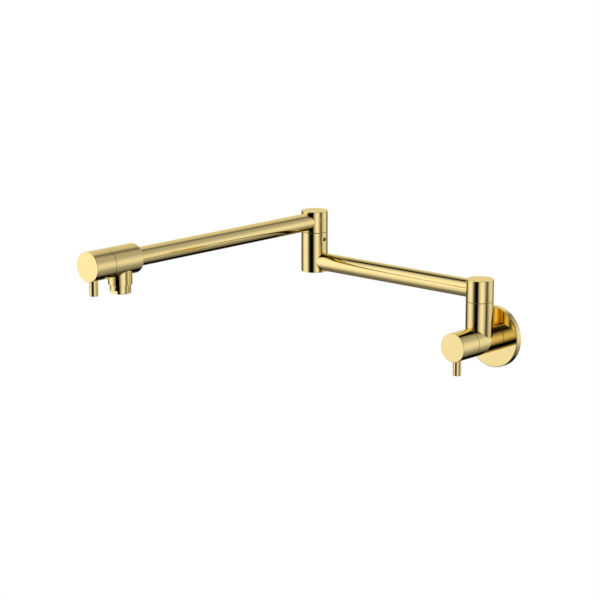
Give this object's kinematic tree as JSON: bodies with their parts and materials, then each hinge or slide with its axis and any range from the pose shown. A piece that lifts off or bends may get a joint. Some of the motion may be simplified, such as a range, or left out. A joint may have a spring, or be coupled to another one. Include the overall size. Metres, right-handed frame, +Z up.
{
  "type": "wall-mounted pot filler",
  "caption": "Wall-mounted pot filler tap: round flange, two swinging tube arms on swivel posts, a quarter-turn lever valve at the wall and another above the aerated spout.",
  "frame": {"origin": "centre of the inlet thread's mouth, in the plane of the wall", "axes": "+X along the wall, to the right for someone who faces it; +Y into the wall, so the tap stands out towards -Y; +Z up"},
  "size_m": [0.318, 0.4212, 0.1675],
  "materials": {
    "polished_gold": "mirror-polished pale gold plating on brass",
    "plain_brass": "machined, unplated",
    "valve_ceramic": "lapped white alumina ceramic",
    "seal_rubber": "matt black rubber",
    "bearing_acetal": "dark acetal bearing ring",
    "screw_steel": "steel socket screw, dull",
    "aerator_plastic": "pale grey moulded plastic"
  },
  "bodies": {
    "wall_body": {"wall_valve_body": "polished_gold", "wall_flange": "polished_gold", "wall_gasket": "seal_rubber", "shank_seal": "seal_rubber", "wall_seat_seal": "seal_rubber", "wall_fixed_disc": "valve_ceramic", "wall_cartridge_sleeve": "plain_brass", "wall_thrust_washer": "bearing_acetal", "wall_grub_screw": "screw_steel"},
    "wall_handle_set": {"wall_handle": "polished_gold", "wall_lever": "polished_gold", "wall_spindle": "plain_brass", "wall_spindle_seal": "seal_rubber", "wall_moving_disc": "valve_ceramic"},
    "lower_arm": {"wall_head": "polished_gold", "wall_stem": "plain_brass", "wall_stem_seals": "seal_rubber", "lower_arm_tube": "polished_gold", "elbow_post": "polished_gold", "elbow_thrust_washer": "bearing_acetal", "elbow_grub_screw": "screw_steel"},
    "upper_arm": {"elbow_head": "polished_gold", "elbow_stem": "plain_brass", "elbow_stem_seals": "seal_rubber", "upper_arm_tube": "polished_gold", "outlet_valve_body": "polished_gold", "outlet_seat_seal": "seal_rubber", "outlet_fixed_disc": "valve_ceramic", "outlet_cartridge_sleeve": "plain_brass", "aerator_housing": "polished_gold", "aerator_insert": "aerator_plastic", "aerator_washer": "seal_rubber"},
    "outlet_handle_set": {"outlet_handle": "polished_gold", "outlet_lever": "polished_gold", "outlet_spindle": "plain_brass", "outlet_spindle_seal": "seal_rubber", "outlet_moving_disc": "valve_ceramic"}
  },
  "joints": [
    {"name": "wall_handle_turn", "type": "hinge", "parent": "wall_body", "child": "wall_handle_set", "pos_m": [0, -0.0546, 0], "axis": [0, -1, 0], "range_deg": [0, 90]},
    {"name": "wall_swivel", "type": "hinge", "parent": "wall_body", "child": "lower_arm", "pos_m": [0, -0.0333, 0.0482], "axis": [0, 0, 1], "range_deg": [0, 180]},
    {"name": "elbow_swivel", "type": "hinge", "parent": "lower_arm", "child": "upper_arm", "pos_m": [-0.263, -0.0333, 0.0989], "axis": [0, 0, 1], "continuous": true},
    {"name": "outlet_handle_turn", "type": "hinge", "parent": "upper_arm", "child": "outlet_handle_set", "pos_m": [-0.263, -0.3914, 0.1125], "axis": [0, -1, 0], "range_deg": [0, 90]}
  ]
}
